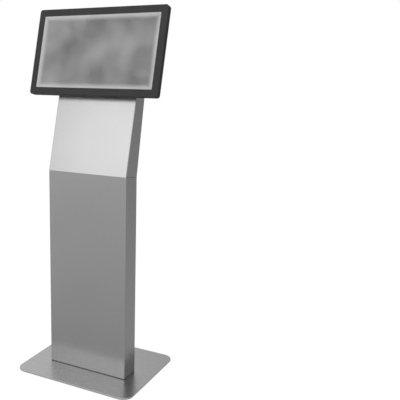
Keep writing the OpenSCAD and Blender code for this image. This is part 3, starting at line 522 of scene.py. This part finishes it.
def round_edges(name, width, materials):
    """Stands for a node with its sharp edges rounded, and marks the faces of the rounding."""
    bm = bmesh.new()
    bm.from_mesh(nodes[name].data)
    bmesh.ops.remove_doubles(bm, verts=bm.verts, dist=SAME_POINT)
    bm.normal_update()
    for vert in bm.verts:
        vert.co -= vert.normal * CLEARANCE
    bmesh.ops.dissolve_limit(
        bm, angle_limit=FLAT, use_dissolve_boundaries=False, verts=bm.verts, edges=bm.edges
    )
    mark = bm.faces.layers.float.new(EDGE)
    sharp = [
        edge
        for edge in bm.edges
        if len(edge.link_faces) == 2
        and edge.calc_face_angle() > SHARP
        and edge.calc_length() > SHORTEST * width
    ]
    made = bmesh.ops.bevel(
        bm, geom=sharp, offset=width, segments=2, profile=0.5, affect="EDGES", clamp_overlap=False
    )
    for face in made["faces"]:
        face[mark] = 1.0
    for face in bm.faces:
        face.smooth = True
    mesh = bpy.data.meshes.new(name + "_rounded")
    bm.to_mesh(mesh)
    bm.free()
    mesh.set_sharp_from_angle(angle=CREASE)
    mesh.materials.append(materials[slots[name]])
    piece = bpy.data.objects.new(name + "_rounded", mesh)
    bpy.context.scene.collection.objects.link(piece)
    weighted = piece.modifiers.new("normals", "WEIGHTED_NORMAL")
    weighted.keep_sharp = True
    weighted.weight = FACE_WEIGHT
    body = bodies[name]
    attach(piece, body)
    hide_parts(name)


# Studio

# The floor reaches this far from the origin to each side
FLOOR_HALF = 30.0
# Strength of the white that the camera sees on the floor, and its share over the matte floor
FLOOR_WHITE = 1.025
FLOOR_SHARE = 0.93
# Strength of the even light from all round
ROOM_LIGHT = 0.75
# Surroundings that the metal mirrors: pale, darker towards the ground, with a dark wall behind the
# kiosk and to its right. A ray's height is the upward part of its direction, and its tone changes
# between two heights. The wall begins and is complete at two shares of a ray's direction towards it.
GROUND_HEIGHTS = (-0.50, 0.0)
GROUND_TONES = (0.42, 1.0)
WALL_HEIGHTS = (-0.44, 0.14)
WALL_TONES = (0.475, 0.265)
WALL_DIRECTION = (0.51, 0.86, 0.0)
WALL_SHARES = (0.15, 0.92)


def area_light(name, place, target, size, power):
    """Rectangular lamp that faces a point and that the camera doesn't see. The power is in watts."""
    data = bpy.data.lights.new(name, "AREA")
    data.shape = "RECTANGLE"
    data.size, data.size_y = size
    data.energy = power
    lamp = bpy.data.objects.new(name, data)
    bpy.context.scene.collection.objects.link(lamp)
    lamp.location = place
    aim = (Vector(target) - Vector(place)).to_track_quat("-Z", "Y")
    lamp.rotation_euler = aim.to_euler()
    lamp.visible_camera = False


def floor_material():
    """Pale floor. The camera sees it as almost plain white, with a trace of the object's shadow."""
    m, t = new_material("floor", grey(0.9))
    matte = t.node(
        "ShaderNodeBsdfDiffuse",
        {"Color": t.mix(t.noise(t.place(), scale=3.0), grey(0.90), grey(0.92))},
    )
    white = t.node("ShaderNodeEmission", {"Color": grey(1.0), "Strength": FLOOR_WHITE})
    share = t.math("MULTIPLY", t.seen(), FLOOR_SHARE)
    t.surface(t.node("ShaderNodeMixShader", {0: share, 1: matte, 2: white}))
    return m


def make_floor():
    """Floor that metal doesn't mirror, so that it mirrors the surroundings below the horizon instead."""
    mesh = bpy.data.meshes.new("floor")
    near, far = -FLOOR_HALF, FLOOR_HALF
    corners = [(near, near, 0), (far, near, 0), (far, far, 0), (near, far, 0)]
    mesh.from_pydata(corners, [], [(0, 1, 2, 3)])
    mesh.materials.append(floor_material())
    made = bpy.data.objects.new("floor", mesh)
    bpy.context.scene.collection.objects.link(made)
    made.visible_glossy = False


def make_world():
    """Even light, a white backdrop for the camera, and tones for the metal to mirror."""
    world = bpy.data.worlds.new("studio")
    bpy.context.scene.world = world
    world.use_nodes = True
    t = Tree(world.node_tree)
    direction = t.node("ShaderNodeTexCoord").outputs["Generated"]
    height = t.along("Z", direction)
    towards_wall = t.node(
        "ShaderNodeVectorMath", {0: direction, 1: WALL_DIRECTION}, operation="DOT_PRODUCT"
    )
    ground = t.span(height, GROUND_HEIGHTS, GROUND_TONES)
    wall = t.span(height, WALL_HEIGHTS, WALL_TONES)
    mirrored = t.span(towards_wall.outputs["Value"], WALL_SHARES, (ground, wall), smooth=True)
    camera_white = t.node("ShaderNodeLightPath").outputs["Is Camera Ray"]
    light = t.node("ShaderNodeBackground", {"Color": grey(1.0), "Strength": ROOM_LIGHT})
    backdrop = t.node(
        "ShaderNodeBackground",
        {"Color": grey(1.0), "Strength": t.math("MAXIMUM", camera_white, mirrored)},
    )
    mixed = t.node("ShaderNodeMixShader", {0: t.seen(), 1: light, 2: backdrop})
    t.node("ShaderNodeOutputWorld", {"Surface": mixed})


def make_studio():
    bpy.context.scene.view_settings.view_transform = "Standard"
    make_world()
    make_floor()
    area_light("key_light", place=(-1.10, -2.90, 2.04), target=(0, 0, 1.0), size=(2.1, 1.6), power=14.9)
    area_light("top_light", place=(-0.4, -0.6, 3.6), target=(0, 0, 0.5), size=(2.6, 2.6), power=38.0)


make_camera()
materials = {slot: make(slot, **values) for slot, (make, values) in LOOKS.items()}
dress_nodes(materials)
for rounded_node, rounded_width in ROUNDED.items():
    round_edges(rounded_node, rounded_width, materials)
make_studio()
